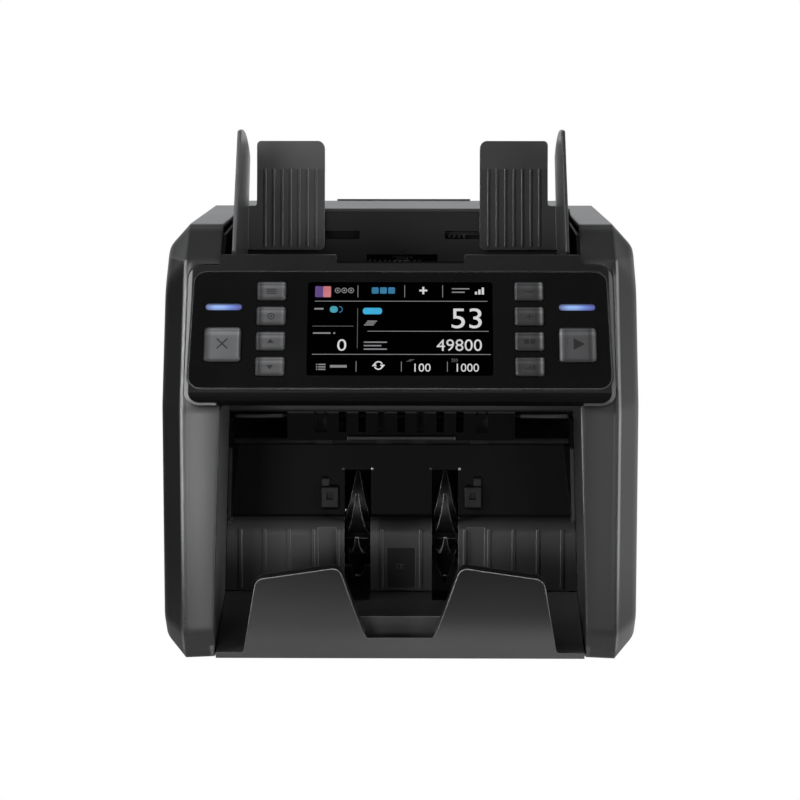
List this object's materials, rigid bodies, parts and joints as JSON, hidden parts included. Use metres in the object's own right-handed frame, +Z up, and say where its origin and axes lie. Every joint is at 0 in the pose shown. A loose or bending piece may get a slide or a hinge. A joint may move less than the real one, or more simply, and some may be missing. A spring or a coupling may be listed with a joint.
{
  "type": "banknote counting machine",
  "caption": "Table-top banknote counter: open feed hopper with sliding note guides, sloped screen and key panel, and a front stacker pocket with leaf wheels.",
  "frame": {"origin": "middle of the footprint at the level of the table, under the feet", "axes": "+Z up, front (screen and pocket) towards -Y, +X to the right seen from the front"},
  "size_m": [0.2796, 0.2621, 0.3115],
  "materials": {
    "casing_plastic": "fine matt grain",
    "housing_plastic": "satin black",
    "tray_plastic": "satin dark grey",
    "pocket_plastic": "matt black",
    "guide_plastic": "satin black",
    "fascia_gloss": "polished black",
    "screen": "dark blue glass over a lit screen",
    "key_plastic": "smoky grey translucent",
    "light_guide": "milky, lit blue-white",
    "circuit_board": "green solder mask",
    "steel_sheet": "zinc plated",
    "black_steel": "black oxide",
    "turned_steel": "turned",
    "bush_bronze": "sintered",
    "roller_rubber": "ground matt",
    "belt_rubber": "matt",
    "wheel_plastic": "satin",
    "guide_sheet": "matt",
    "sensor_plastic": "satin",
    "socket_plastic": "fine grain",
    "port_shell": "bright tin",
    "foot_rubber": "matt"
  },
  "bodies": {
    "casing": {"base_plate": "steel_sheet", "left_side_cover": "casing_plastic", "right_side_cover": "casing_plastic", "panel_housing": "housing_plastic", "front_tray": "tray_plastic", "stacker_back_plate": "pocket_plastic", "exit_comb": "pocket_plastic", "hopper_tray": "pocket_plastic", "rack_keeper": "pocket_plastic", "top_cover": "casing_plastic", "rear_panel": "casing_plastic", "rubber_feet": "foot_rubber", "control_panel": "fascia_gloss", "display_module": "screen", "key_board": "circuit_board", "light_bars": "light_guide", "stacker_sensors": "sensor_plastic", "power_inlet": "socket_plastic", "switch_frame": "socket_plastic", "rear_ports": "port_shell", "left_side_frame": "steel_sheet", "right_side_frame": "steel_sheet", "tie_bars": "black_steel", "shaft_bearings": "bush_bronze", "main_motor": "steel_sheet", "drive_belt": "belt_rubber", "transport_bed": "guide_sheet", "return_guide": "guide_sheet", "sensor_bars": "guide_sheet", "main_board": "circuit_board", "power_supply": "steel_sheet", "door_hinge_pins": "turned_steel"},
    "left_key_1": {"left_key_1": "key_plastic"},
    "left_key_2": {"left_key_2": "key_plastic"},
    "left_key_3": {"left_key_3": "key_plastic"},
    "left_key_4": {"left_key_4": "key_plastic"},
    "right_key_1": {"right_key_1": "key_plastic"},
    "right_key_2": {"right_key_2": "key_plastic"},
    "right_key_3": {"right_key_3": "key_plastic"},
    "right_key_4": {"right_key_4": "key_plastic"},
    "left_large_key": {"left_large_key": "key_plastic"},
    "right_large_key": {"right_large_key": "key_plastic"},
    "left_guide": {"left_note_guide": "guide_plastic"},
    "right_guide": {"right_note_guide": "guide_plastic"},
    "pinion": {"guide_pinion": "wheel_plastic"},
    "feed": {"feed_shaft": "turned_steel", "feed_rollers": "roller_rubber"},
    "separator": {"separator_shaft": "turned_steel", "separator_roller": "roller_rubber"},
    "drum": {"drum_shaft": "turned_steel", "drum_rollers": "roller_rubber"},
    "exit": {"exit_shaft": "turned_steel", "exit_rollers": "roller_rubber"},
    "pinch": {"pinch_rollers": "roller_rubber"},
    "stacker": {"stacker_shaft": "black_steel", "stacker_wheels": "wheel_plastic"},
    "motor_rotor": {"motor_pulley": "turned_steel"},
    "door": {"rear_door": "casing_plastic"},
    "rocker": {"power_rocker": "socket_plastic"}
  },
  "joints": [
    {"name": "left_key_1_press", "type": "slide", "parent": "casing", "child": "left_key_1", "axis": [0, 0.8724, -0.4887], "range_m": [0, 0.0008], "stiffness_N_per_m": 400, "springref_m": -0.0004},
    {"name": "left_key_2_press", "type": "slide", "parent": "casing", "child": "left_key_2", "axis": [0, 0.8724, -0.4887], "range_m": [0, 0.0008], "stiffness_N_per_m": 400, "springref_m": -0.0004},
    {"name": "left_key_3_press", "type": "slide", "parent": "casing", "child": "left_key_3", "axis": [0, 0.8724, -0.4887], "range_m": [0, 0.0008], "stiffness_N_per_m": 400, "springref_m": -0.0004},
    {"name": "left_key_4_press", "type": "slide", "parent": "casing", "child": "left_key_4", "axis": [0, 0.8724, -0.4887], "range_m": [0, 0.0008], "stiffness_N_per_m": 400, "springref_m": -0.0004},
    {"name": "right_key_1_press", "type": "slide", "parent": "casing", "child": "right_key_1", "axis": [0, 0.8724, -0.4887], "range_m": [0, 0.0008], "stiffness_N_per_m": 400, "springref_m": -0.0004},
    {"name": "right_key_2_press", "type": "slide", "parent": "casing", "child": "right_key_2", "axis": [0, 0.8724, -0.4887], "range_m": [0, 0.0008], "stiffness_N_per_m": 400, "springref_m": -0.0004},
    {"name": "right_key_3_press", "type": "slide", "parent": "casing", "child": "right_key_3", "axis": [0, 0.8724, -0.4887], "range_m": [0, 0.0008], "stiffness_N_per_m": 400, "springref_m": -0.0004},
    {"name": "right_key_4_press", "type": "slide", "parent": "casing", "child": "right_key_4", "axis": [0, 0.8724, -0.4887], "range_m": [0, 0.0008], "stiffness_N_per_m": 400, "springref_m": -0.0004},
    {"name": "left_large_key_press", "type": "slide", "parent": "casing", "child": "left_large_key", "axis": [0, 0.8724, -0.4887], "range_m": [0, 0.0008], "stiffness_N_per_m": 400, "springref_m": -0.0004},
    {"name": "right_large_key_press", "type": "slide", "parent": "casing", "child": "right_large_key", "axis": [0, 0.8724, -0.4887], "range_m": [0, 0.0008], "stiffness_N_per_m": 400, "springref_m": -0.0004},
    {"name": "left_guide_slide", "type": "slide", "parent": "casing", "child": "left_guide", "axis": [1, 0, 0], "range_m": [0, 0.03]},
    {"name": "right_guide_slide", "type": "slide", "parent": "casing", "child": "right_guide", "axis": [-1, 0, 0], "range_m": [0, 0.03]},
    {"name": "pinion_turn", "type": "hinge", "parent": "casing", "child": "pinion", "pos_m": [0, 0.01695, 0.23493], "axis": [0, -0.9769, 0.2137], "range_deg": [0, 215]},
    {"name": "drum_spin", "type": "hinge", "parent": "casing", "child": "drum", "pos_m": [0, 0.075, 0.136], "axis": [1, 0, 0], "continuous": true},
    {"name": "feed_spin", "type": "hinge", "parent": "casing", "child": "feed", "pos_m": [0, -0.014, 0.172], "axis": [1, 0, 0], "continuous": true},
    {"name": "exit_spin", "type": "hinge", "parent": "casing", "child": "exit", "pos_m": [0, -0.02, 0.134], "axis": [1, 0, 0], "continuous": true},
    {"name": "stacker_spin", "type": "hinge", "parent": "casing", "child": "stacker", "pos_m": [0, -0.02, 0.062], "axis": [1, 0, 0], "continuous": true},
    {"name": "motor_spin", "type": "hinge", "parent": "casing", "child": "motor_rotor", "pos_m": [0, 0.085, 0.049], "axis": [1, 0, 0], "continuous": true},
    {"name": "separator_spin", "type": "hinge", "parent": "casing", "child": "separator", "pos_m": [0, -0.041, 0.163], "axis": [1, 0, 0], "continuous": true},
    {"name": "pinch_spin", "type": "hinge", "parent": "casing", "child": "pinch", "pos_m": [0, -0.016, 0.1155], "axis": [1, 0, 0], "continuous": true},
    {"name": "door_open", "type": "hinge", "parent": "casing", "child": "door", "pos_m": [0, 0.128, 0.076], "axis": [-1, 0, 0], "range_deg": [0, 75]},
    {"name": "rocker_tilt", "type": "hinge", "parent": "casing", "child": "rocker", "pos_m": [0.04, 0.121, 0.04], "axis": [-1, 0, 0], "range_deg": [0, 14]}
  ],
  "couplings": [
    {"joint": "right_guide_slide", "follows": "left_guide_slide", "ratio": 1},
    {"joint": "pinion_turn", "follows": "left_guide_slide", "rad_per_m": 125},
    {"joint": "feed_spin", "follows": "drum_spin", "ratio": 1},
    {"joint": "exit_spin", "follows": "drum_spin", "ratio": 1},
    {"joint": "stacker_spin", "follows": "drum_spin", "ratio": 0.7},
    {"joint": "motor_spin", "follows": "drum_spin", "ratio": 1.75}
  ]
}
